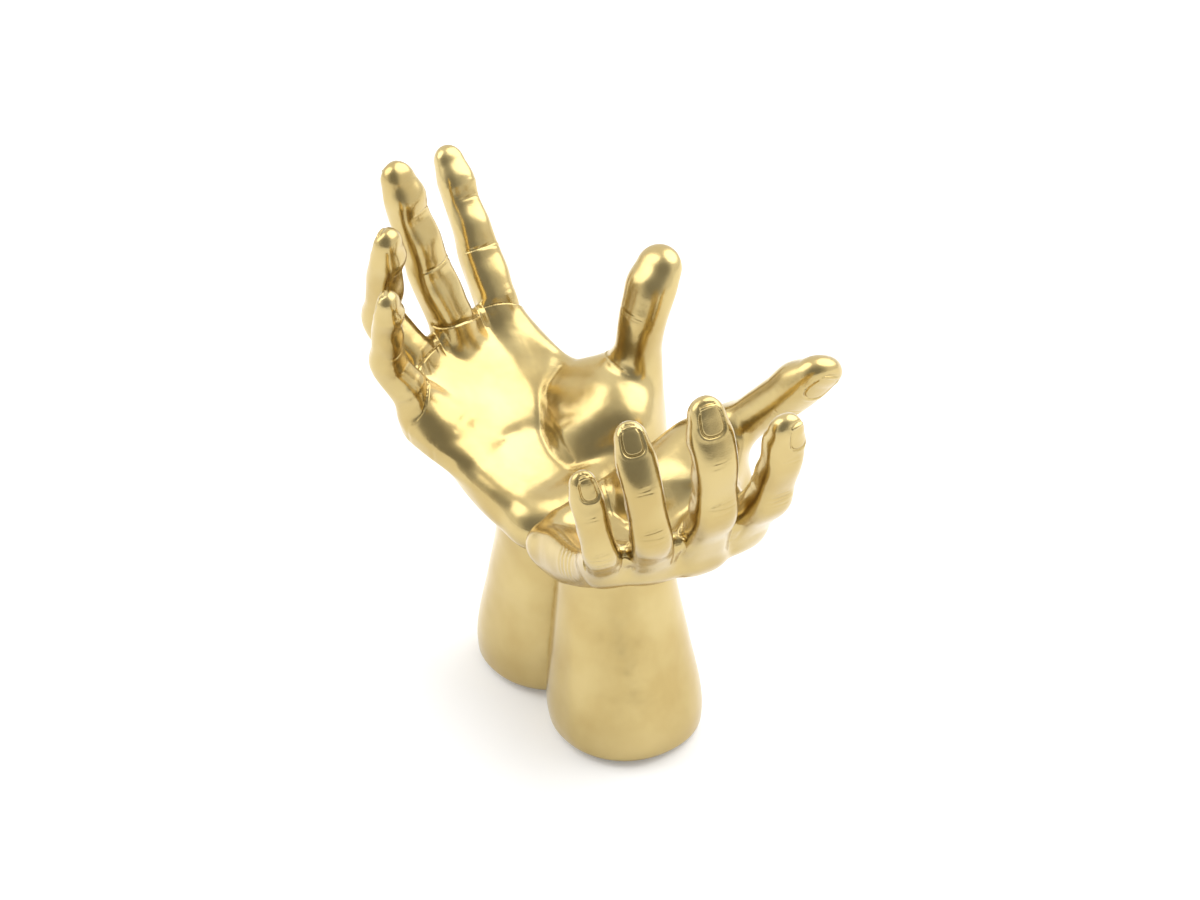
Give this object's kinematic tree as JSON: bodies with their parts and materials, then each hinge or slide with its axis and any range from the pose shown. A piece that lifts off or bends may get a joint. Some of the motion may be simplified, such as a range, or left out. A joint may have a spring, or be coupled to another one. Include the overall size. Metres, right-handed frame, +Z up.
{
  "type": "hands statue",
  "caption": "Table statue of two open, cupped hands, palms up and fingers spread, on short forearms joined side by side, in gold paint.",
  "frame": {"origin": "on the floor, under the middle of the statue's outline seen from above", "axes": "+Z up, +X from the right hand to the left hand, +Y from the little fingers to the thumbs; the forearms meet at x = 9.9 mm"},
  "size_m": [0.2758, 0.1465, 0.2215],
  "materials": {
    "gold_paint": "satin metallic gold paint on cast resin",
    "pin_steel": "ground steel pin",
    "plug_resin": "bare cast resin",
    "felt": "dark self-adhesive felt"
  },
  "bodies": {
    "root": {"right_hand": "gold_paint", "left_hand": "gold_paint", "right_forearm": "gold_paint", "left_forearm": "gold_paint", "right_wrist_dowel": "pin_steel", "left_wrist_dowel": "pin_steel", "lower_tie_pin": "pin_steel", "upper_tie_pin": "pin_steel", "right_base_plug": "plug_resin", "left_base_plug": "plug_resin", "right_felt_pad": "felt", "left_felt_pad": "felt"}
  },
  "joints": []
}
